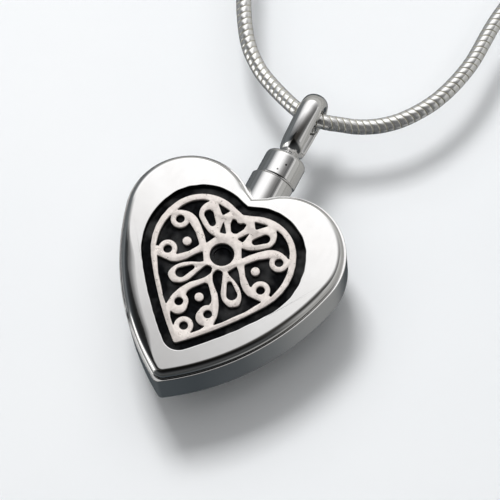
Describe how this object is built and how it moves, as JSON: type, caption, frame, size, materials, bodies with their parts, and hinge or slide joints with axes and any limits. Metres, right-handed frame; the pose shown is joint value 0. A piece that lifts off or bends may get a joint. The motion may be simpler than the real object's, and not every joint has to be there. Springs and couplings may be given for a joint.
{
  "type": "keepsake urn pendant on a snake chain",
  "caption": "Polished heart pendant with a hollow chamber, a raised filigree inlay on a dark ground, a screw-in bail cap and a snake chain.",
  "frame": {"origin": "on the flat back, under the centre of the filigree's hub", "axes": "+X across the heart, +Y from its tip to the bail, +Z out of its face"},
  "size_m": [0.1046, 0.2185, 0.006],
  "materials": {
    "polished_silver": "mirror-polished silver",
    "oxidised_silver": "satin silver relief over a blackened ground",
    "chain_silver": "polished silver with darkened grooves"
  },
  "bodies": {
    "heart": {"heart_case": "polished_silver", "filigree_inlay": "oxidised_silver"},
    "necklace": {"bail_cap": "polished_silver", "chain": "chain_silver", "clasp": "chain_silver"}
  },
  "joints": [
    {"name": "cap_pull", "type": "slide", "parent": "heart", "child": "necklace", "axis": [0, 1, 0], "range_m": [0, 0.005]}
  ]
}
